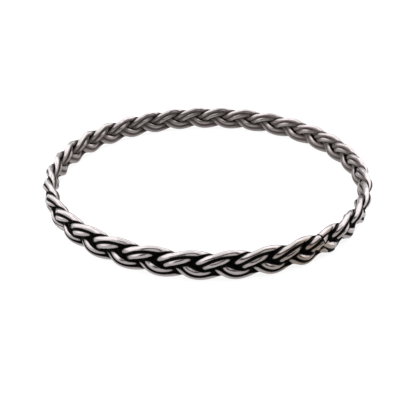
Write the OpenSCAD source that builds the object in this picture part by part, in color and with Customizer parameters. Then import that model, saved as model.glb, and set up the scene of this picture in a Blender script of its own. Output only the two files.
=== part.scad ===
// Bangle: a flat braid of three strands, bent round and soldered end to end.
// Each strand is a pair of round wires that run side by side.
// The ring lies on its side, with its axis along Z and its lowest wires at Z = 0.

/* [Ring] */
// Radius of the ring at the middle of the braid
ring_r = 33.8; // [33:0.1:36]
// How much the hand-bent ring is oval, as a change of its radius
oval = 0.19; // [0:0.01:0.3]
// Direction of the oval's long way
oval_at = 36; // [0:180]
// How much the ring is three-sided, as a change of its radius
three_sided = 0.17; // [0:0.01:0.3]
// Direction of the first of its three soft corners
three_sided_at = 47; // [0:120]

/* [Braid] */
// Diameter of each wire
wire_d = 0.98; // [0.9:0.01:1]
// Gap between the two wires of a strand
pair_gap = 0.12; // [0.1:0.01:0.16]
// Lobes along each edge of the braid
lobes = 32; // [31:33]
// Direction of the first lobe's start
first_lobe_at = 199.8; // [180:0.1:220]
// Sway of a strand's middle line towards either edge
sway = 1.83; // [1.8:0.01:1.9]
// Rise of a strand's middle line over the other two, and its fall behind them
weave = 0.8; // [0.78:0.01:0.85]
// How far a strand leans back along the ring between two crossings
lean = 0.33; // [0.2:0.01:0.4]
// Most that a pair rolls about its own line, where it nears an edge of the braid
roll = 31; // [20:32]

/* [Join] */
// Direction of the soldered join
join_at = 306.5; // [300:0.5:312]
// Slant of the saw cut across the braid
join_slant = 12; // [0:15]
// Reach of the solder to each side of the cut
solder_reach = 0.35; // [0.3:0.05:0.5]
// Reach of the solder that has run along the lower lobe past the cut
solder_run = 2.6; // [1:0.1:2.8]
// Share of the sway that is lost where the braid is pinched past the join
pinch = 0.05; // [0:0.01:0.06]
// Direction of the pinched stretch's middle
pinch_at = 329.5; // [320:335]
// Spread of the pinched stretch
pinch_spread = 14; // [10:20]

/* [Fineness] */
// Sides of each wire
sides = 6; // [6:8]
// Step of a strand's turn from one ring of points to the next
turn_step = 20; // [20:20:40]

/* [Hidden] */
strands = 3;
wire_r = wire_d / 2;
pair_half = (wire_d + pair_gap) / 2;
// A flat of each wire faces its partner, so a wire reaches this far that way
flat_r = wire_r * cos(180 / sides);
mid_z = sway + pair_half + flat_r;
lobe_angle = 360 / lobes;
lobe_length = ring_r * lobe_angle * PI / 180;
// A strand makes one turn, from edge to edge and back, in as many lobes as there are strands
turn_per_lobe = 360 / strands;
// Largest value of sin(t) * sin(2t)
roll_peak = 4 / (3 * sqrt(3));
// Gap between a strand's sawn ends and the soldered join
fit_gap = 0.05;
bar_d = 0.6 * wire_d;
// The strand along which solder has run past the cut
flooded = 2;
silver = [0.72, 0.70, 0.67];
solder_grey = [0.78, 0.77, 0.75];
cut_normal = [
    -sin(join_at) * cos(join_slant),
    cos(join_at) * cos(join_slant),
    sin(join_slant)
];

function unit(v) = v / norm(v);
function wrapped(a) = a - 360 * round(a / 360);

// The ring's own radius in a direction
function bend_r(a) = ring_r + oval * cos(2 * (a - oval_at)) + three_sided * cos(3 * (a - three_sided_at));

// Share of the sway that is left in a direction
function sway_share(a) = 1 - pinch * exp(-pow(wrapped(a - pinch_at) / pinch_spread, 2));

// Direction on the ring of strand k at turn t
function strand_at(k, t) =
    first_lobe_at + lobe_angle * (k + t / turn_per_lobe - lean / lobe_length * sin(2 * t));

// Middle line of strand k: it sways once and rises twice in each turn
function strand_mid(k, t) =
    let(a = strand_at(k, t), r = bend_r(a) + weave * sin(2 * t))
    [r * cos(a), r * sin(a), sway * sway_share(a) * sin(t)];

// Direction from a strand's middle line to its upper wire, square to the line
function pair_way(k, t) =
    let(
        a = strand_at(k, t),
        along = unit(strand_mid(k, t + 1) - strand_mid(k, t - 1)),
        across = unit(cross([cos(a), sin(a), 0], along)),
        lift = cross(along, across),
        s = -sin(roll) * sin(t) * sin(2 * t) / roll_peak
    )
    across * sqrt(1 - s * s) + lift * s;

// Middle line of one wire of a strand, side 1 above and side -1 below
function wire_mid(k, side, t) = strand_mid(k, t) + side * pair_half * pair_way(k, t);

// One ring of points round a wire
function wire_ring(k, side, t) =
    let(
        along = unit(wire_mid(k, side, t + 1) - wire_mid(k, side, t - 1)),
        way = pair_way(k, t),
        u = unit(way - (way * along) * along),
        v = cross(along, u),
        mid = wire_mid(k, side, t)
    )
    [for (i = [0.5:sides]) mid + wire_r * (cos(360 * i / sides) * u + sin(360 * i / sides) * v)];

// Turn at which a wire meets the plane that lies s past the saw cut, found in a few steps
function cut_turn(k, side, s, t, steps = 6) =
    steps == 0 ? t :
    let(here = wire_mid(k, side, t), slope = (wire_mid(k, side, t + 1) - here) * cut_normal)
    cut_turn(k, side, s, t + (s - here * cut_normal) / slope, steps - 1);

// The ring of points where a wire is sawn off square to that plane's normal
function cut_ring(k, side, s, t) =
    let(along = unit(wire_mid(k, side, t + 1) - wire_mid(k, side, t - 1)))
    [for (p = wire_ring(k, side, t)) p + along * ((s - p * cut_normal) / (along * cut_normal))];

// Turn of strand k at the join, before and after it has gone round the ring
function join_turn(k, rounds) = turn_per_lobe * ((join_at - first_lobe_at) / lobe_angle - k + rounds * lobes);

// A wire of strand k from the plane s0 to the plane s1, each after its rounds of the ring
module wire(k, side, s0, s1, rounds0, rounds1) {
    t0 = cut_turn(k, side, s0, join_turn(k, rounds0));
    t1 = cut_turn(k, side, s1, join_turn(k, rounds1));
    room = 0.6 * turn_step;
    first = turn_step * (ceil((t0 + room) / turn_step - 0.5) + 0.5);
    rings = concat(
        [cut_ring(k, side, s0, t0)],
        [for (t = [first:turn_step:t1 - room]) wire_ring(k, side, t)],
        [cut_ring(k, side, s1, t1)]
    );
    last = len(rings) - 1;
    points = [for (ring = rings) each ring];
    walls = [
        for (j = [0:last - 1], i = [0:sides - 1])
            let(i2 = (i + 1) % sides, a = j * sides + i, b = j * sides + i2)
                each [[a, a + sides, b], [b, a + sides, b + sides]]
    ];
    ends = [[for (i = [0:sides - 1]) i], [for (i = [sides - 1:-1:0]) last * sides + i]];
    polyhedron(points, concat(walls, ends), convexity = 12);
}

// How far past the cut the solder reaches on strand k
function reach(k) = k == flooded ? solder_run : solder_reach;

// A pair of wires, once round the ring from the join to the join
module strand(k) {
    for (side = [1, -1])
        wire(k, side, reach(k) + fit_gap, -solder_reach - fit_gap, 0, 1);
}

module strand_a() {
    color(silver) translate([0, 0, mid_z]) strand(0);
}

module strand_b() {
    color(silver) translate([0, 0, mid_z]) strand(1);
}

module strand_c() {
    color(silver) translate([0, 0, mid_z]) strand(2);
}

// A bar of solder between two points
module solder_bar(from, to) {
    hull() {
        for (p = [from, to]) translate(p) sphere(d = bar_d, $fn = 12);
    }
}

// Where a wire's middle line meets the saw cut
function cut_mid(k, side) = wire_mid(k, side, cut_turn(k, side, 0, join_turn(k, 0)));

// The wires' ends at the saw cut, run together with solder
module solder_join() {
    pair_mids = [for (k = [0:strands - 1]) (cut_mid(k, 1) + cut_mid(k, -1)) / 2];
    color(solder_grey) translate([0, 0, mid_z]) {
        for (k = [0:strands - 1], side = [1, -1])
            wire(k, side, -solder_reach, reach(k), 0, 0);
        for (k = [0:strands - 1])
            solder_bar(cut_mid(k, 1), cut_mid(k, -1));
        for (k = [0:strands - 1])
            if (k != flooded) solder_bar(pair_mids[k], pair_mids[flooded]);
        for (t = [0, turn_step])
            let(t0 = join_turn(flooded, 0) + t)
                solder_bar(strand_mid(flooded, t0), strand_mid(flooded, t0 + turn_step));
    }
}

strand_a();
strand_b();
strand_c();
solder_join();
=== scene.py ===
# %% [markdown]
# # A braided silver bangle
#
# The real thing is a closed bangle for the wrist. A silversmith lays six round wires
# side by side in three pairs, plaits them flat, bends the plait round and solders its two
# ends together. The bangle is then blackened all over and buffed, so that the crests shine
# and the deep places stay black.
#
# This notebook builds the same thing in the same order: wires, solder, black and buff,
# then light and camera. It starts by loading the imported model, which fixes every place.

import math

import bmesh
import bpy
import numpy as np
from mathutils import Matrix, Vector
from mathutils.kdtree import KDTree


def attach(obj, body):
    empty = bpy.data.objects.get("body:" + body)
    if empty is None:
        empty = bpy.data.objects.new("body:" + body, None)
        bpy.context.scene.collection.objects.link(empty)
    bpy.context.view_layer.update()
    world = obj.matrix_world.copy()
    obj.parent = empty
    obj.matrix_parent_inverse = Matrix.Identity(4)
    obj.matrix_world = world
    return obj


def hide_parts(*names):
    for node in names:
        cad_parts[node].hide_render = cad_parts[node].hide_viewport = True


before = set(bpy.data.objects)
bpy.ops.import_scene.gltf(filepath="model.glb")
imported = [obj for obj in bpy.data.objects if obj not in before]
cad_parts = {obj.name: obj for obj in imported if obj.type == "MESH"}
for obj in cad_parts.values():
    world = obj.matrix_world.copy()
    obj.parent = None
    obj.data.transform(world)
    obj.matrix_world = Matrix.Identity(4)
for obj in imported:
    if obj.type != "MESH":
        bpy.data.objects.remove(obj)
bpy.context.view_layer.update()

# %% [markdown]
# ## The sizes of the bangle
#
# A smith would note a few sizes: the wire, the ring and how the plait runs. They could be
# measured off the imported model, but a formula with the same named sizes gives smooth
# wires at any fineness. Lengths here are millimetres and directions are degrees, and they
# become metres only where points are made.

# %% Sizes
MM = 0.001
RING_R = 33.8  # to the middle of the braid
OVAL, OVAL_AT = 0.19, 36  # change of the radius, and direction of the long way
THREE_SIDED, THREE_SIDED_AT = 0.17, 47  # the same for three soft corners
WIRE_D = 0.98
PAIR_GAP = 0.12  # between the two packed wires of a strand
LOBES = 32  # along each edge of the braid
FIRST_LOBE_AT = 199.8  # where the first lobe starts
SWAY = 1.83  # of a strand's middle line towards either edge
WEAVE = 0.8  # its rise over the other two strands, and its fall behind them
LEAN = 0.33  # how far it leans back along the ring between two crossings
ROLL = 31  # the most that a pair rolls about its own line
LOW_ROLL = 8  # the same along the lower edge, which was pressed flatter
JOIN_AT, JOIN_SLANT = 306.5, 12  # where the join is, and the slant of its saw cut
SOLDER_REACH, SOLDER_RUN = 0.35, 2.6  # to each side of the cut, and along the lower lobe
PINCH, PINCH_AT, PINCH_SPREAD = 0.05, 329.5, 14  # share of the sway lost past the join

STRANDS = 3
CAD_SIDES = 6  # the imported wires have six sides, and the lowest lie on a flat one
WIRE_R = WIRE_D / 2
PAIR_HALF = (WIRE_D + PAIR_GAP) / 2
MID_Z = SWAY + PAIR_HALF + WIRE_R * math.cos(math.pi / CAD_SIDES)
LOBE_ANGLE = 360 / LOBES
LOBE_LENGTH = RING_R * math.radians(LOBE_ANGLE)
TURN_PER_LOBE = 360 / STRANDS
print(f"one lobe is {LOBE_LENGTH:.2f} mm long, the packed braid {2 * MID_Z:.2f} mm wide")

# %% [markdown]
# ## The way of a strand
#
# In a flat plait of three, each strand sways from edge to edge once while it rises over the
# others and dives under them twice. A sine for the sway and a sine of twice the turn for the
# rise draw exactly that. The ring itself was bent by hand, so its radius wanders a little.


# %% Sine and cosine in degrees
def sin(degrees):
    return math.sin(math.radians(degrees))


def cos(degrees):
    return math.cos(math.radians(degrees))


print("the sine of 30 degrees is", round(sin(30), 3))


# %% The ring
def ring_radius(direction):
    oval = OVAL * cos(2 * (direction - OVAL_AT))
    return RING_R + oval + THREE_SIDED * cos(3 * (direction - THREE_SIDED_AT))


radii = [ring_radius(direction) for direction in range(360)]
print(f"the middle of the braid runs {min(radii):.2f} to {max(radii):.2f} mm from the axis")


# %% The middle lines of the strands
def sway_share(direction):
    """Share of the sway that is left where the braid is pinched."""
    off = (direction - PINCH_AT + 180) % 360 - 180
    return 1 - PINCH * math.exp(-((off / PINCH_SPREAD) ** 2))


def strand_direction(strand, turn):
    lean = LEAN / LOBE_LENGTH * sin(2 * turn)
    return FIRST_LOBE_AT + LOBE_ANGLE * (strand + turn / TURN_PER_LOBE - lean)


def strand_middle(strand, turn):
    direction = strand_direction(strand, turn)
    radius = ring_radius(direction) + WEAVE * sin(2 * turn)
    height = MID_Z + SWAY * sway_share(direction) * sin(turn)
    return Vector((radius * cos(direction), radius * sin(direction), height))


print(f"after one round, strand 0 ends {strand_middle(0, TURN_PER_LOBE * LOBES).z:.2f} mm high")
print(f"and strand 1 starts {strand_middle(1, -TURN_PER_LOBE).z:.2f} mm high")

# %% [markdown]
# ## The pair of wires in a strand
#
# The two wires of a strand lie side by side, and the pair rolls as a ribbon would where it
# nears an edge of the braid. Along the lower edge it rolls less, as if the ring had been
# pressed on a flat plate, and the wires that cross there are pressed a little into each
# other. One vector, from the strand's middle to its upper wire, says both where the wires
# are and how the pair is rolled.

# %% How a pair is rolled
ROLL_PEAK = 4 / (3 * math.sqrt(3))  # largest value of sin(turn) * sin(2 * turn)
ASIDE = 1  # degrees of turn to the points that give a line's direction


def pair_way(strand, turn):
    direction = strand_direction(strand, turn)
    outward = Vector((cos(direction), sin(direction), 0))
    ahead, behind = (strand_middle(strand, turn + step) for step in (ASIDE, -ASIDE))
    along = (ahead - behind).normalized()
    across = outward.cross(along).normalized()
    most = ROLL if sin(turn) > 0 else LOW_ROLL
    rise = -sin(most) * sin(turn) * sin(2 * turn) / ROLL_PEAK
    return across * math.sqrt(1 - rise * rise) + along.cross(across) * rise


# %% Wires of a strand
def wire_middle(strand, side, turn):
    """A point on the middle of a wire, side 1 above and side -1 below."""
    return strand_middle(strand, turn) + pair_way(strand, turn) * (side * PAIR_HALF)


def wire_frame(strand, side, turn):
    """Where a slice of the wire sits: X towards its partner, Z along the wire, in metres."""
    ahead, behind = (wire_middle(strand, side, turn + step) for step in (ASIDE, -ASIDE))
    along = (ahead - behind).normalized()
    way = pair_way(strand, turn) * -side
    x_axis = (way - along * way.dot(along)).normalized()
    y_axis = along.cross(x_axis)
    turned = Matrix((x_axis, y_axis, along)).transposed().to_4x4()
    return Matrix.Translation(wire_middle(strand, side, turn) * MM) @ turned


apart = (wire_middle(0, 1, 0) - wire_middle(0, -1, 0)).length
print(f"the middles of a pair's wires are {apart:.2f} mm apart")

# %% [markdown]
# ## Where the wires are sawn and joined
#
# The plait's ends are sawn across at a small slant and meet. A wire crosses the plane of the
# saw cut at some turn, which a few steps of the secant rule find.

# %% The saw cut
CUT_NORMAL = Vector((
    -sin(JOIN_AT) * cos(JOIN_SLANT),
    cos(JOIN_AT) * cos(JOIN_SLANT),
    sin(JOIN_SLANT),
))
FLOODED = 2  # the strand along which solder has run
SECANT_STEPS = 6


def past_cut(point):
    """How far a point lies past the saw cut."""
    return (point - Vector((0, 0, MID_Z))).dot(CUT_NORMAL)


def join_turn(strand, rounds):
    """A strand's turn at the join, after its rounds of the ring."""
    return TURN_PER_LOBE * ((JOIN_AT - FIRST_LOBE_AT) / LOBE_ANGLE - strand + rounds * LOBES)


def cut_turn(strand, side, past, rounds=0):
    """The turn at which a wire is that far past the cut, after its rounds of the ring."""
    turn = join_turn(strand, rounds)
    for _ in range(SECANT_STEPS):
        here = past_cut(wire_middle(strand, side, turn))
        slope = past_cut(wire_middle(strand, side, turn + 1)) - here
        turn += (past - here) / slope
    return turn


print(f"the first wire is sawn at {cut_turn(0, 1, 0):.1f} degrees of its turn")

# %% [markdown]
# ## What the join did to the wires
#
# Sawn wires never meet quite true. Past the cut the upper lobe steps up a little, its lower
# wire was filed thin, and the lowest wire of all stops short as a stub, with solder above it.
# They could be modelled by hand, but a short table keeps these facts in one place, and every
# slice of wire near the join is shifted, thinned and left black as it says.

# %% Misfits at the join
MISFITS = {
    # wire: (mm past the cut, thickness, shift to its partner, shift outwards, polish) ...
    (0, 1): [(-0.3, 1, 0, 0, 1), (-0.12, 0.98, 0, 0, 0.8), (-0.03, 0.8, 0, -0.05, 0),
             (0.06, 0.8, 0, -0.05, 0), (0.15, 1, -0.12, 0, 1), (1.5, 1, -0.06, 0, 1),
             (4, 1, 0, 0, 1)],
    (0, -1): [(-0.5, 1, 0, 0, 1), (-0.12, 1.04, 0, 0.03, 1), (-0.03, 0.7, 0.1, -0.1, 0),
              (0.15, 0.7, 0.22, 0.05, 0), (0.25, 0.7, 0.22, 0.05, 1.2),
              (1.4, 0.72, 0.15, 0.1, 1.3), (2.2, 0.8, 0.1, 0.07, 0.5),
              (3.5, 1, 0, 0, 0.8), (5, 1, 0, 0, 1)],
    (2, 1): [(0, 1, 0, 0, 1), (0.4, 1.05, 0.02, 0, 1.2), (1, 1.1, 0.04, 0, 1.2),
             (2.6, 1.1, 0.06, 0, 1.2), (4, 1, 0, 0, 1)],
    (2, -1): [(-1.8, 1, 0, 0, 1), (-1, 1, 0, 0, 1.3), (-0.1, 1, 0, 0, 1.3),
              (0, 0.94, 0, 0, 0.3), (0.2, 1.04, 0, 0.04, 1.3), (1.1, 1.02, 0, 0, 1.3),
              (1.3, 0.72, 0.26, -0.12, 0), (3, 0.76, 0.26, -0.08, 0),
              (5, 1, 0, 0, 0.3), (8, 1, 0, 0, 1)],
}
NEAR_JOIN = 160  # degrees of a strand's turn
SOUND = (1, 0, 0, 1)


def misfit(strand, side, turn):
    """Thickness, shifts and polish of a wire at a turn, from the table of misfits."""
    to_end = join_turn(strand, 1) - turn
    from_start = turn - join_turn(strand, 0)
    if from_start < NEAR_JOIN:
        wire = (strand, side)
    elif to_end < NEAR_JOIN:
        wire = ((strand + 1) % STRANDS, side)  # the wire that this one meets at the cut
    else:
        return SOUND
    if wire not in MISFITS:
        return SOUND
    past = past_cut(wire_middle(strand, side, turn))
    marks, *columns = zip(*MISFITS[wire])
    return tuple(float(np.interp(past, marks, column)) for column in columns)


def dressed_slice(strand, side, turn):
    """A slice's place after the join's misfits, its sound place, and its polish."""
    thickness, to_partner, outwards, polish = misfit(strand, side, turn)
    # Y points inwards on an upper wire and outwards on a lower one
    shift = Matrix.Translation(Vector((to_partner, -side * outwards, 0)) * MM)
    scale = Matrix.Diagonal((thickness, thickness, 1, 1))
    sound = wire_frame(strand, side, turn)
    return sound @ shift @ scale, sound, polish


print(len(MISFITS), "wires have misfits at the join")

# %% [markdown]
# ## Making the wires
#
# Wire is drawn straight and then bent. So a wire starts here as a long straight cylinder,
# cut across into slices, and each slice is carried to its place along the braid. A curve with
# a bevel would give the same shape, but this way each point can keep a note of where it lay
# on the straight wire, which the grain of the drawn metal needs later.

# %% A straight wire, bent slice by slice
WIRE_SIDES = 20
TURN_STEP = 5
PRESSED = 0.02  # the wires of a pair are pressed together by this much each
TOWARDS_PARTNER = (PAIR_HALF + PRESSED) / WIRE_R


def notes(bm):
    """What each point remembers.

    Its place on straight wire, the way out of the wire, where it would be on a sound wire,
    and how well it is polished.
    """
    vectors, numbers = bm.verts.layers.float_vector, bm.verts.layers.float
    drawn, way_out, sound = [
        vectors.get(name) or vectors.new(name) for name in ("drawn", "way_out", "sound")
    ]
    return drawn, way_out, sound, numbers.get("polish") or numbers.new("polish")


def add_wire(bm, slices):
    """Adds a round wire from slices: each has its place, its sound place and its polish."""
    drawn, way_out, sound, polish = notes(bm)
    old = len(bm.verts)
    ends = bmesh.ops.create_cone(
        bm, cap_ends=True, segments=WIRE_SIDES, radius1=WIRE_R * MM, radius2=WIRE_R * MM, depth=1
    )["verts"]
    rims = {edge for vert in ends for edge in vert.link_edges}
    long_edges = [edge for edge in rims if edge.verts[0].co.z != edge.verts[1].co.z]
    for edge in rims.difference(long_edges):
        edge.smooth = False
    last = len(slices) - 1
    bmesh.ops.subdivide_edges(bm, edges=long_edges, cuts=last - 1, use_grid_fill=True)
    middles = [place.translation / MM for place, _, _ in slices]
    steps = [(ahead - here).length for here, ahead in zip(middles, middles[1:])]
    lengths = [sum(steps[:i]) for i in range(last + 1)]
    bm.verts.ensure_lookup_table()
    for vert in bm.verts[old:]:
        index = round((vert.co.z + 0.5) * last)
        place, sound_place, slice_polish = slices[index]
        flat = Vector((vert.co.x, vert.co.y, 0))
        vert[way_out] = (place.to_3x3() @ flat).normalized()
        if flat.x > 0:
            flat.x *= TOWARDS_PARTNER
        vert[drawn] = flat / MM + Vector((0, 0, lengths[index]))
        vert[polish] = slice_polish
        vert[sound] = sound_place @ flat
        vert.co = place @ flat
    return lengths[-1]


def finished(bm, name):
    """Turns a bmesh into an object at the origin, with smooth faces."""
    for face in bm.faces:
        face.smooth = True
    mesh = bpy.data.meshes.new(name)
    bm.to_mesh(mesh)
    bm.free()
    piece = bpy.data.objects.new(name, mesh)
    bpy.context.scene.collection.objects.link(piece)
    print(name, "has", len(mesh.polygons), "faces")
    return piece


# %% The three strands
JOIN_STEP = 1  # finer slices where the join changes the wire


def slices_between(strand, side, start, end):
    """Slices of a wire from turn to turn, finer near the join."""
    turns = []
    turn = start
    while turn < end - JOIN_STEP:
        turns.append(turn)
        near = min(turn - join_turn(strand, 0), join_turn(strand, 1) - turn) < NEAR_JOIN / 2
        turn += JOIN_STEP if near else TURN_STEP
    turns.append(end)
    return [dressed_slice(strand, side, turn) for turn in turns]


def solder_reach(strand):
    return SOLDER_RUN if strand == FLOODED else SOLDER_REACH


def make_strand(strand, name):
    bm = bmesh.new()
    for side in (1, -1):
        start = cut_turn(strand, side, solder_reach(strand))
        end = cut_turn(strand, side, -SOLDER_REACH, rounds=1)
        length = add_wire(bm, slices_between(strand, side, start, end))
        print(f"wire of {name}: {length:.0f} mm long")
    return finished(bm, name)


NAMES = ["strand_a", "strand_b", "strand_c"]
strands = [make_strand(index, name + "_wires") for index, name in enumerate(NAMES)]

# %% [markdown]
# ## The soldered join
#
# Solder draws into narrow gaps. It has tied the six wires' ends together, and past the cut it
# has run along the lower lobe and filled the groove between its two wires. The filled groove
# is one more wire, flattened between the pair, and a lump shows where the solder piled up.

# %% The run of solder
FLOOD_FROM, FLOOD_TO = 0.7, 3.1  # mm past the cut
FLOOD_LIFT = 0.08  # how far its middle lies above the middle between the pair
FLOOD_WIDE, FLOOD_THICK = 1.1, 0.9  # against a wire
FLOOD_SLICES = 24
FLOOD_TIP, FLOOD_FULLNESS = 0.1, 0.3  # how thin its tips get, and how soon it is full


def flood_slice(past):
    """A slice of the solder between the flooded pair, thick in the middle of its run."""
    turn = cut_turn(FLOODED, 1, past)
    upper = wire_frame(FLOODED, 1, turn)
    middle = strand_middle(FLOODED, turn) + pair_way(FLOODED, turn) * FLOOD_LIFT
    share = (past - FLOOD_FROM) / (FLOOD_TO - FLOOD_FROM)
    swell = max(FLOOD_TIP, math.sin(math.pi * share)) ** FLOOD_FULLNESS
    scale = Matrix.Diagonal((FLOOD_WIDE * swell, FLOOD_THICK * swell, 1, 1))
    place = Matrix.Translation(middle * MM) @ upper.to_3x3().to_4x4() @ scale
    return place, place, 1


# %% The lumps of solder
LUMP_POLISH = 1.3  # a file has been over them
LUMP_FINENESS = 3
LUMPS = [
    # mm past the cut, which wire it sits on, shift to its partner, radius, flatness
    (0.75, -1, 0.45, 0.4, 0.9),
    (0.45, 1, -0.2, 0.34, 0.9),
]


def add_lump(bm, middle, radius, flat):
    """Adds a rounded lump of solder, pressed flat along the ring's own radius."""
    drawn, way_out, sound, polish = notes(bm)
    outward = Vector((middle.x, middle.y, 0)).normalized()
    ball = bmesh.ops.create_icosphere(bm, subdivisions=LUMP_FINENESS, radius=1)["verts"]
    for vert in ball:
        vert[way_out] = vert.co.normalized()
        vert[polish] = LUMP_POLISH
        pressed = outward * (vert.co.dot(outward) * radius * (1 - flat))
        vert.co = vert.co * radius - pressed + middle
        vert[drawn] = vert.co
        vert.co *= MM
        vert[sound] = vert.co


# %% Wires' ends, solder and lumps in one piece
def make_join(name):
    bm = bmesh.new()
    for strand in range(STRANDS):
        for side in (1, -1):
            start = cut_turn(strand, side, -SOLDER_REACH)
            end = cut_turn(strand, side, solder_reach(strand))
            add_wire(bm, slices_between(strand, side, start, end))
    run = np.linspace(FLOOD_FROM, FLOOD_TO, FLOOD_SLICES)
    add_wire(bm, [flood_slice(past) for past in run])
    for past, side, shift, radius, flat in LUMPS:
        turn = cut_turn(FLOODED, side, past)
        spot = wire_frame(FLOODED, side, turn) @ Matrix.Translation((shift * MM, 0, 0))
        add_lump(bm, spot.translation / MM, radius, flat)
    return finished(bm, name)


join = make_join("solder_seam")

# %% [markdown]
# ## Black and buff
#
# Liver of sulphur blackens silver everywhere, and a buffing mop then takes the black off
# whatever it can reach. A mop is soft, but it doesn't fit into a groove. So each point asks
# whether a small ball, the size of the mop's tufts, fits against it without touching
# another wire, and whether a larger one, the mop behind them, comes near enough. Where both
# fit the metal is bright, and elsewhere the black stays. It is asked of the sound wire,
# because a wire that was filed thin at the join would be in its own way.

# %% Where the wires are, for quick searches
def wire_tree(strand, side):
    """A search tree of points along the middle of one wire, in millimetres."""
    turns = np.arange(0, TURN_PER_LOBE * LOBES, TURN_STEP)
    tree = KDTree(len(turns))
    for turn in turns:
        tree.insert(wire_middle(strand, side, turn), 0)
    tree.balance()
    return tree


wire_trees = [wire_tree(strand, side) for strand in range(STRANDS) for side in (1, -1)]
print(len(wire_trees), "wires to search among")

# %% How well a ball fits against each point
BELOW_MM = 0.03  # a wire that rises less than this above the plane counts as below it
ALL_CLEAR = 3  # the answer where no wire is in the way


def room_for_ball(points, normals, radius):
    """How far a ball on each point is from the next wire, as a share of the ball's radius.

    At 1 the ball just touches that wire, and below 1 it doesn't fit. Wires that lie wholly
    below the plane on which the ball rests, like its own, are never in its way.
    """
    room = []
    for point, normal in zip(map(Vector, points), map(Vector, normals)):
        found = [tree.find(point + normal * radius) for tree in wire_trees]
        in_the_way = [
            distance for middle, _, distance in found
            if normal.dot(middle - point) > BELOW_MM - WIRE_R
        ]
        nearest = min(in_the_way, default=WIRE_R + ALL_CLEAR * radius)
        room.append((nearest - WIRE_R) / radius)
    return np.array(room)


def gap_to_next_wire(points):
    """How far each point, which lies on a wire, is from the nearest other wire."""
    second = [sorted(tree.find(point)[2] for tree in wire_trees)[1] for point in points]
    return np.array(second) - WIRE_R


spot = wire_middle(0, 1, 90) + Vector((0, 0, WIRE_R))
print("room for a ball of 1 mm on a lobe's top:", room_for_ball([spot], [(0, 0, 1)], 1)[0])


# %% Helpers for values on a mesh's points
def smooth_step(low, high, value):
    share = np.clip((value - low) / (high - low), 0, 1)
    return share * share * (3 - 2 * share)


def read_vectors(points, name):
    values = np.empty(len(points) * 3)
    points.foreach_get(name, values)
    return values.reshape(-1, 3)


def softened(mesh, values, rounds):
    """Values spread out over the neighbouring points, so that no edge looks jagged."""
    ends = np.empty(len(mesh.edges) * 2, dtype=np.int32)
    mesh.edges.foreach_get("vertices", ends)
    one, other = ends.reshape(-1, 2).T
    count = len(mesh.vertices)
    neighbours = np.bincount(one, minlength=count) + np.bincount(other, minlength=count)
    for _ in range(rounds):
        total = np.bincount(one, values[other], count) + np.bincount(other, values[one], count)
        values = (values + total / neighbours) / 2
    return values


def write_note(mesh, name, values):
    layer = mesh.attributes.new(name, "FLOAT", "POINT")
    layer.data.foreach_set("value", values.astype(np.float32))


# %% How far the mop has cleaned each point
TUFT_R = 0.4  # a tuft of the mop cleans where this ball has room to spare
TUFT_FITS, TUFT_SPAN = 1.4, 0.3
MOP_R = 1.3  # and the mop behind it must get near enough
MOP_FITS, MOP_SPAN = 0.66, 0.2
POLISH_SPAN = 7  # what a lack of polish at the join takes off
DEEPEST = 1.6  # nothing gets blacker or brighter than this
SOFT_ROUNDS = 5
REACH_SPAN = 8  # makes the note run from 0.3, deep in the black, to 0.7


def cleaned(mesh, normals):
    """How clean each point is: 0.5 is the edge of the black, and more is brighter."""
    polish = np.empty(len(mesh.vertices))
    mesh.attributes["polish"].data.foreach_get("value", polish)
    sound = read_vectors(mesh.attributes["sound"].data, "vector") / MM
    tuft = room_for_ball(sound, normals, TUFT_R)
    mop = room_for_ball(sound, normals, MOP_R)
    reached = np.minimum((tuft - TUFT_FITS) / TUFT_SPAN, (mop - MOP_FITS) / MOP_SPAN)
    reached = np.clip(reached - POLISH_SPAN * (1 - polish), -DEEPEST, DEEPEST)
    return 0.5 + softened(mesh, reached, SOFT_ROUNDS) / REACH_SPAN


# %% [markdown]
# ## The shaded inner side, the tarnish and the crust
#
# Inside the ring the silver is greyer and duller, partly because a mop hardly works there and
# partly as painted shade. Along the upper rim, where it faces up, it keeps the outside's
# colours. Near the join it has tarnished a little again, except on top. In the deep places the
# black has built up a crust with old polish in it, which fills most of the holes between the
# strands. Bump could only shade it, so the crust is a real bulge of the mesh, and the other
# two are one more number for every point.

# %% Painted shade on the inner side, and tarnish
INNER_FROM, INNER_TO = -0.3, -0.8  # how much the surface faces outwards
RIM_FROM, RIM_TO = 1.8, 2.3  # the upper rim keeps the outside's colours, so high above the middle
RIM_UP_FROM, RIM_UP_TO = 0.1, 0.5  # where it faces up by this much
TARNISH_AT, TARNISH_SPREAD = 300, 14  # degrees round the ring
WIPED_FROM, WIPED_TO = 0.4, 0.9  # how much the surface faces up


# Painted shade: a mask for the inner side, which gets darker, duller colours, except the
# up-facing upper rim.
def shaded_inner_side(points, normals):
    outward = points * (1, 1, 0)
    outward /= np.linalg.norm(outward, axis=1)[:, None]
    inner = smooth_step(INNER_FROM, INNER_TO, (normals * outward).sum(axis=1))
    rim = smooth_step(RIM_FROM, RIM_TO, points[:, 2] - MID_Z)
    return inner * (1 - rim * smooth_step(RIM_UP_FROM, RIM_UP_TO, normals[:, 2]))


def tarnished(points, normals):
    direction = np.degrees(np.arctan2(points[:, 1], points[:, 0])) % 360
    spread = np.exp(-(((direction - TARNISH_AT) / TARNISH_SPREAD) ** 2))
    return spread * smooth_step(WIPED_TO, WIPED_FROM, normals[:, 2])


# %% The crust
CRUST_R = 0.8  # the crust grows where a ball of this radius doesn't fit
CRUST_FULL, CRUST_NONE = 0.6, 0.8
CRUST_MM = 0.34  # its thickest, where it closes a hole between the strands
MEET_MM = 0.02  # crusts that meet grow into each other by this much
CRUST_ROUNDS = 3


def crust_on(mesh, points, normals):
    """Thickness of the crust on each point, in millimetres."""
    thickest = np.minimum(CRUST_MM, gap_to_next_wire(points) / 2 + MEET_MM)
    hollow = smooth_step(CRUST_NONE, CRUST_FULL, room_for_ball(points, normals, CRUST_R))
    return softened(mesh, thickest * hollow, CRUST_ROUNDS)


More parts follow.
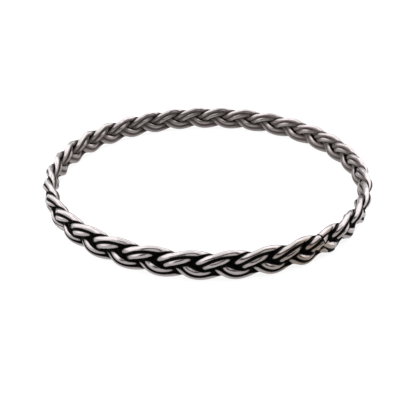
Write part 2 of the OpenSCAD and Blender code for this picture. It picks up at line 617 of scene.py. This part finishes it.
# %% Black and buff every piece
def buff(piece):
    """Notes how bright, how shaded inside and how tarnished each point is, and lets the crust
    grow.
    """
    mesh = piece.data
    points = read_vectors(mesh.vertices, "co") / MM
    normals = read_vectors(mesh.attributes["way_out"].data, "vector")
    shine = cleaned(mesh, normals)
    write_note(mesh, "shine", shine)
    write_note(mesh, "inner", shaded_inner_side(points, normals))
    write_note(mesh, "tarnish", tarnished(points, normals))
    crust = crust_on(mesh, points, normals)
    swollen = points + normals * crust[:, None]
    mesh.vertices.foreach_set("co", (swollen * MM).ravel())
    for name in ("way_out", "sound", "polish"):
        mesh.attributes.remove(mesh.attributes[name])
    mesh.update()
    bright = (shine > 0.5).mean()
    print(f"{piece.name}: {bright:.0%} of it bright, crust up to {crust.max():.2f} mm")


pieces = [*strands, join]
for piece in pieces:
    buff(piece)

# %% [markdown]
# ## The silver
#
# The metal is sterling silver, drawn to wire, blackened and buffed. Buffed silver mirrors the
# room, so its own colour is a plain warm grey and the light does the rest. The black is silver
# sulphide, a thin dull crust that mirrors nothing, with a brown rim where the mop thinned it.
# A photograph of the pattern would be the quick way, but noise on the wire's own lengths
# follows every bend and has no seams. First come three helpers for colours and nodes.

# %% Colours
def linear(hex_colour):
    """The linear colour of an sRGB hex value such as '#C9C2BA'."""
    parts = [int(hex_colour[i:i + 2], 16) / 255 for i in (1, 3, 5)]
    return [p / 12.92 if p <= 0.04045 else ((p + 0.055) / 1.055) ** 2.4 for p in parts] + [1]


print("half grey is", round(linear("#808080")[0], 3), "in linear light")


# %% Nodes and colour ramps
def add_node(tree, kind, inputs=None, **settings):
    """Adds a node, sets its settings, and gives its inputs a value or a link each."""
    node = tree.nodes.new(kind)
    for name, value in settings.items():
        setattr(node, name, value)
    for name, value in (inputs or {}).items():
        if isinstance(value, bpy.types.NodeSocket):
            tree.links.new(value, node.inputs[name])
        else:
            node.inputs[name].default_value = value
    return node


def set_stops(ramp, stops):
    """Gives a colour ramp its stops, each a position and a colour."""
    elements = ramp.color_ramp.elements
    while len(elements) < len(stops):
        elements.new(0.5)
    for element, (position, colour) in zip(elements, stops):
        element.position = position
        element.color = colour


# %% [markdown]
# ## How well each place is buffed
#
# The note on the mesh is smooth, but a mop's edge isn't: it leaves the black ragged, and it
# skips the small pits in the metal. Finer points could carry both, but noise and small cells
# added to the note give the same from a light mesh.

# %% Ragged edge and pits
PATCH_MM = 0.6  # how ragged the mop leaves the edge of the black
PATCH_DETAIL = 2
PATCH_FROM, PATCH_TO = 0.3, 0.7  # where nearly all of the noise lies
RAGGED = 0.01  # how far it moves the edge, in the note's own measure
PIT_MM = 0.45  # from one pit to the next
PIT_FLOOR, PIT_RIM = 0.05, 0.12  # a pit's radii, as shares of that
PIT_DEEP = 0.15  # how much less it is buffed


def buffed_places(tree, drawn):
    """The note of how bright each point is, made ragged and pitted."""
    shine = add_node(tree, "ShaderNodeAttribute", attribute_name="shine").outputs["Fac"]
    patch = add_node(tree, "ShaderNodeTexNoise", {
        "Vector": drawn, "Scale": 1 / PATCH_MM, "Detail": PATCH_DETAIL,
    })
    ragged = add_node(tree, "ShaderNodeMapRange", {
        "Value": patch.outputs["Fac"], "From Min": PATCH_FROM, "From Max": PATCH_TO,
        "To Min": -RAGGED, "To Max": RAGGED,
    })
    pits = add_node(tree, "ShaderNodeTexVoronoi", {"Vector": drawn, "Scale": 1 / PIT_MM})
    pit = add_node(tree, "ShaderNodeMapRange", {
        "Value": pits.outputs["Distance"], "From Min": PIT_FLOOR, "From Max": PIT_RIM,
        "To Min": -PIT_DEEP, "To Max": 0,
    })
    marred = add_node(tree, "ShaderNodeMath", {
        0: ragged.outputs["Result"], 1: pit.outputs["Result"],
    })
    buffed = add_node(tree, "ShaderNodeMath", {0: shine, 1: marred.outputs["Value"]})
    return buffed.outputs["Value"]


print(f"a pit is {2 * PIT_RIM * PIT_MM:.2f} mm wide")

# %% [markdown]
# ## From black to bright
#
# Two ramps turn the note into colour, one for the well buffed outside and one for the inside,
# which is greyer, partly from a thin film of black left there and partly as painted shade.
# Tarnish is a faint brown film over the metal, so it multiplies the outside colour. Only bare
# metal is metallic: the crust isn't.

# %% Colours of the crust and the metal
OUTSIDE = [(0.48, "#020202"), (0.495, "#463A36"), (0.515, "#837C7B"), (0.6, "#A29C9C")]
# the inside's colours are partly painted shade: a darker copy of the outside's
SHADED_INSIDE = [(0.44, "#5B5352"), (0.49, "#655D5B"), (0.52, "#716A69"), (0.62, "#8B8483")]
TARNISHED = "#CFC2B2"  # the film over the metal, which multiplies its colour
BARE_FROM, BARE_TO = 0.48, 0.5  # where the crust ends and bare metal begins


def metal_colour(tree, buffed, inner):
    """The colour of each place, from black crust to bright metal, or to greyer metal with
    painted shade inside.
    """
    tarnish = add_node(tree, "ShaderNodeAttribute", attribute_name="tarnish").outputs["Fac"]
    colours = []
    for stops in (OUTSIDE, SHADED_INSIDE):
        ramp = add_node(tree, "ShaderNodeValToRGB", {"Fac": buffed})
        set_stops(ramp, [(position, linear(colour)) for position, colour in stops])
        colours.append(ramp.outputs["Color"])
    browned = add_node(tree, "ShaderNodeMix", {
        "Factor": tarnish, 6: colours[0], 7: linear(TARNISHED),
    }, data_type="RGBA", blend_type="MULTIPLY")
    # the inner note mixes in the painted shade of the inside
    colour = add_node(tree, "ShaderNodeMix", {
        "Factor": inner, 6: browned.outputs[2], 7: colours[1],
    }, data_type="RGBA")
    return colour.outputs[2]


crust_light, metal_light = (linear(OUTSIDE[place][1])[0] for place in (0, -1))
print(f"red light given back by the crust: {crust_light:.2%}, by the metal: {metal_light:.0%}")

# %% [markdown]
# ## How sharp the mirror is
#
# Drawn wire has fine streaks along its length from the die, and bent wire is never quite
# straight, so its mirror image wobbles. The streaks are far finer than the faces of the
# mesh, and of the waves only the mirror image shows, so both are bump instead of shape, and
# the streaks make the metal a little rougher as well. The streaks are drawn coarser and the
# waves deeper than real ones, or they wouldn't show.

# %% Streaks and roughness
STREAK_MM = 0.12  # marks of the drawing die are finer, but would not show
STREAK_DETAIL = 3
ALONG_WIRE = (1, 1, 0.06)  # stretches the noise along the wire
CRUST_ROUGH, METAL_ROUGH = 0.5, 0.13
BRIGHT_AT = 0.6  # from here on the metal is as smooth as it gets
INNER_ROUGHER = 0.14
STREAK_ROUGHER = 0.12


def streaks_along(tree, drawn):
    """Noise that is stretched to streaks along the wire."""
    stretched = add_node(tree, "ShaderNodeMapping", {"Vector": drawn, "Scale": ALONG_WIRE})
    streaks = add_node(tree, "ShaderNodeTexNoise", {
        "Vector": stretched.outputs["Vector"], "Scale": 1 / STREAK_MM, "Detail": STREAK_DETAIL,
    })
    return streaks.outputs["Fac"]


def roughness(tree, buffed, inner, streaks):
    """Dull crust, smooth metal, with the inner side and the streaks a little rougher."""
    rough = add_node(tree, "ShaderNodeMapRange", {
        "Value": buffed, "From Min": BARE_FROM, "From Max": BRIGHT_AT,
        "To Min": CRUST_ROUGH, "To Max": METAL_ROUGH,
    })
    duller = add_node(tree, "ShaderNodeMath", {
        0: inner, 1: INNER_ROUGHER, 2: rough.outputs["Result"],
    }, operation="MULTIPLY_ADD")
    uneven = add_node(tree, "ShaderNodeMath", {
        0: streaks, 1: STREAK_ROUGHER, 2: duller.outputs["Value"],
    }, operation="MULTIPLY_ADD", use_clamp=True)
    return uneven.outputs["Value"]


print(f"streaks are about {STREAK_MM / ALONG_WIRE[2]:.0f} mm long")


# %% Waves and streaks as bump
WAVE_MM = 2.6  # hand-bent wire is never quite straight
WAVE_DEEP_MM = 0.4  # deeper than the real waves, so that they show
WAVE_DETAIL = 1
STREAK_DEEP_MM = 0.002


def bumps(tree, drawn, streaks):
    """The waves of bent wire with the streaks of drawn wire on them."""
    waves = add_node(tree, "ShaderNodeTexNoise", {
        "Vector": drawn, "Scale": 1 / WAVE_MM, "Detail": WAVE_DETAIL,
    })
    wavy = add_node(tree, "ShaderNodeBump", {
        "Height": waves.outputs["Fac"], "Strength": 1, "Distance": WAVE_DEEP_MM * MM,
    })
    streaked = add_node(tree, "ShaderNodeBump", {
        "Height": streaks, "Strength": 1, "Distance": STREAK_DEEP_MM * MM,
        "Normal": wavy.outputs["Normal"],
    })
    return streaked.outputs["Normal"]


print(f"one lobe has {LOBE_LENGTH / WAVE_MM:.1f} waves")

# %% [markdown]
# ## Silver and solder
#
# Silver solder is silver with some copper and zinc. It was blackened and buffed together
# with the wire and looks just like it, so one recipe makes both materials. They keep their
# own names, so that the seam can be given another colour later.

# %% Silver and solder
CRUST_SPECULAR = 0.03  # the crust mirrors next to nothing


def silver_material(name):
    """Polished metal where the mop has been, and dull black crust where it hasn't.

    To the eye it is a row of sharp lights and darks along each wire, broken by the black.
    """
    material = bpy.data.materials.new(name)
    material.use_nodes = True
    tree = material.node_tree
    drawn = add_node(tree, "ShaderNodeAttribute", attribute_name="drawn").outputs["Vector"]
    inner = add_node(tree, "ShaderNodeAttribute", attribute_name="inner").outputs["Fac"]
    buffed = buffed_places(tree, drawn)
    streaks = streaks_along(tree, drawn)
    bare = add_node(tree, "ShaderNodeMapRange", {
        "Value": buffed, "From Min": BARE_FROM, "From Max": BARE_TO,
    })
    shader = tree.nodes["Principled BSDF"].inputs
    shader["Specular IOR Level"].default_value = CRUST_SPECULAR
    tree.links.new(metal_colour(tree, buffed, inner), shader["Base Color"])
    tree.links.new(bare.outputs["Result"], shader["Metallic"])
    tree.links.new(roughness(tree, buffed, inner, streaks), shader["Roughness"])
    tree.links.new(bumps(tree, drawn, streaks), shader["Normal"])
    print(f"{name}: {len(tree.nodes)} nodes")
    return material


silver = silver_material("sterling silver wire, oxidised and buffed")
solder = silver_material("silver solder, filed and buffed")
for piece in strands:
    piece.data.materials.append(silver)
join.data.materials.append(solder)

# %% [markdown]
# ## Floor and light
#
# Small polished things are photographed on a white sheet that is lit from below, so that they
# cast no shadow, and under a white tent, because they mirror their whole room. A little glow
# on the floor's own material does the work of the lamp underneath. The acrylic is matt, so
# to the eye it is one even pale tone, without a mirror image of the bangle.

# %% White acrylic sheet
FLOOR_HALF = 3  # metres, far more than the photo's angle shows
ACRYLIC, ACRYLIC_ROUGH, ACRYLIC_SPECULAR = "#707070", 0.9, 0.2
LAMP, GLOW = "#FFFFFF", 0.85  # what comes through from below

floor_z = min(read_vectors(piece.data.vertices, "co")[:, 2].min() for piece in pieces)
bm = bmesh.new()
bmesh.ops.create_grid(bm, x_segments=1, y_segments=1, size=FLOOR_HALF)
bmesh.ops.translate(bm, vec=(0, 0, floor_z), verts=bm.verts)
floor = finished(bm, "floor")
card = bpy.data.materials.new("white acrylic, matt, lit from below")
card.use_nodes = True
card_shader = card.node_tree.nodes["Principled BSDF"].inputs
card_shader["Base Color"].default_value = linear(ACRYLIC)
card_shader["Roughness"].default_value = ACRYLIC_ROUGH
card_shader["Specular IOR Level"].default_value = ACRYLIC_SPECULAR
card_shader["Emission Color"].default_value = linear(LAMP)
card_shader["Emission Strength"].default_value = GLOW
floor.data.materials.append(card)

# %% [markdown]
# ## The tent
#
# The tent is the world here. It is brightest high up behind the bangle, which gives each
# wire its narrow highlight, and at the sides. Low down behind it is dimmer, which draws a
# fine grey line on the wires' far edges. In front it is open where the camera looks in,
# and this dark gap is the thin dark line along each wire.
# Area lamps would be the other way, but a world has no edges that break up in the mirror.

# %% Brightness of the tent by height
BEHIND = [
    # height above the horizon in degrees, brightness, colour
    (-10, 1, "#F8F8FA"),
    (5, 0.9, "#F8F4F8"),
    (25, 1.1, "#FAF8FA"),
    (40, 3, "#FFFFFF"),
    (54, 3.2, "#FFFFFF"),
    (68, 1.8, "#FFFFFF"),
]
BESIDE = [
    (-10, 1, "#F8F8FA"),
    (0, 2.2, "#FFFFFF"),
    (60, 3, "#FFFFFF"),
    (85, 3, "#FFFFFF"),
]
IN_FRONT = [
    (-10, 0.6, "#F8F8FA"),
    (-4, 0.7, "#F8F8FA"),
    (5, 0.05, "#D0A8A0"),
    (20, 0.05, "#D0A8A0"),
    (30, 0.7, "#FAF8F8"),
    (42, 1, "#FFFFFF"),
    (55, 1.4, "#FFFFFF"),
    (80, 1.8, "#FFFFFF"),
]
OPENING_AT = 292  # direction of the tent's opening, beside the camera
brightest = max(strength for _, strength, _ in BEHIND)
darkest = min(strength for _, strength, _ in IN_FRONT)
print(f"brightness from {darkest} in the opening to {brightest} behind")


def by_height(tree, height, stops):
    """A ramp over the height above the horizon, whose stops are degrees, strength, colour."""
    ramp = add_node(tree, "ShaderNodeValToRGB", {"Fac": height})
    set_stops(ramp, [
        ((sin(degrees) + 1) / 2, [strength * part for part in linear(colour)[:3]] + [1])
        for degrees, strength, colour in stops
    ])
    return ramp.outputs["Color"]


# %% Walls of the tent
FRONT_FROM, FRONT_TO = 0.3, 0.65  # cosine of the angle to the opening
BESIDE_FROM, BESIDE_TO = 0.3, 0.6  # cosine of the angle to left or right


def tent_light(tree):
    """The light from each direction: behind and beside, and the opening in front."""
    way = add_node(tree, "ShaderNodeTexCoord").outputs["Generated"]
    parts = add_node(tree, "ShaderNodeSeparateXYZ", {"Vector": way})
    height = add_node(tree, "ShaderNodeMapRange", {"Value": parts.outputs["Z"], "From Min": -1})
    towards_opening = add_node(tree, "ShaderNodeVectorMath", {
        0: way, 1: (cos(OPENING_AT), sin(OPENING_AT), 0),
    }, operation="DOT_PRODUCT")
    front = add_node(tree, "ShaderNodeMapRange", {
        "Value": towards_opening.outputs["Value"], "From Min": FRONT_FROM, "From Max": FRONT_TO,
    })
    sideways = add_node(tree, "ShaderNodeMath", {0: parts.outputs["X"]}, operation="ABSOLUTE")
    beside = add_node(tree, "ShaderNodeMapRange", {
        "Value": sideways.outputs["Value"], "From Min": BESIDE_FROM, "From Max": BESIDE_TO,
    })
    walls = add_node(tree, "ShaderNodeMix", {
        "Factor": beside.outputs["Result"],
        6: by_height(tree, height.outputs["Result"], BEHIND),
        7: by_height(tree, height.outputs["Result"], BESIDE),
    }, data_type="RGBA")
    light = add_node(tree, "ShaderNodeMix", {
        "Factor": front.outputs["Result"],
        6: walls.outputs[2],
        7: by_height(tree, height.outputs["Result"], IN_FRONT),
    }, data_type="RGBA")
    return light.outputs[2]


# %% The world
world = bpy.data.worlds.new("studio")
bpy.context.scene.world = world
world.use_nodes = True
background = world.node_tree.nodes["Background"]
world.node_tree.links.new(tent_light(world.node_tree), background.inputs["Color"])
bpy.context.scene.view_settings.view_transform = "Standard"
print("the world has", len(world.node_tree.nodes), "nodes")

# %% [markdown]
# ## The camera
#
# The camera looks down at the bangle by 27 degrees from about 13 cm away, with hardly any
# lean. Its distance and focal length were fitted to the lobes in the picture. The gaze is
# turned down by 3 degrees more instead of shifting the lens, as a hand would.

# %% Where the camera looks
PHOTO_PX = 416
FOCAL_PX = 594.65  # focal length in the photo's pixels
DISTANCE = 131.4  # mm from the middle of the ring
ELEVATION, CAMERA_ROLL, PAN, TILT = 27.24, 0.521, -0.068, -3.202  # degrees
SENSOR = 36  # mm wide
NEAREST = 5  # mm, and anything nearer isn't drawn

eye = Vector((0, -cos(ELEVATION), sin(ELEVATION))) * DISTANCE
level_right = Vector((1, 0, 0))
level_gaze = -eye.normalized()
level_up = level_right.cross(level_gaze)
right = level_right * cos(CAMERA_ROLL) + level_up * sin(CAMERA_ROLL)
up = level_up * cos(CAMERA_ROLL) - level_right * sin(CAMERA_ROLL)
gaze = level_gaze + right * math.tan(math.radians(PAN)) + up * math.tan(math.radians(TILT))
gaze = gaze.normalized()
right = (right - gaze * right.dot(gaze)).normalized()
up = right.cross(gaze)
print(f"the gaze points {-math.degrees(math.asin(gaze.z)):.1f} degrees down")

# %% The camera in its place
camera = bpy.data.objects.new("camera", bpy.data.cameras.new("camera"))
bpy.context.scene.collection.objects.link(camera)
camera.data.sensor_width = SENSOR
camera.data.lens = SENSOR * FOCAL_PX / PHOTO_PX
camera.data.clip_start = NEAREST * MM
turned = Matrix((right, up, -gaze)).transposed().to_4x4()
camera.matrix_world = Matrix.Translation((eye + Vector((0, 0, MID_Z))) * MM) @ turned
bpy.context.scene.camera = camera
print(f"focal length {camera.data.lens:.1f} mm on a {SENSOR} mm sensor")

# %% [markdown]
# ## What each piece stands for
#
# Each strand of dressed wires takes the place of one packed strand, and the join that of the
# packed join. They all ride on the one rigid body.

# %% Say what each piece is
for piece, node in zip(strands, NAMES):
    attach(piece, "root")
    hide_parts(node)
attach(join, "root")
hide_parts("solder_join")
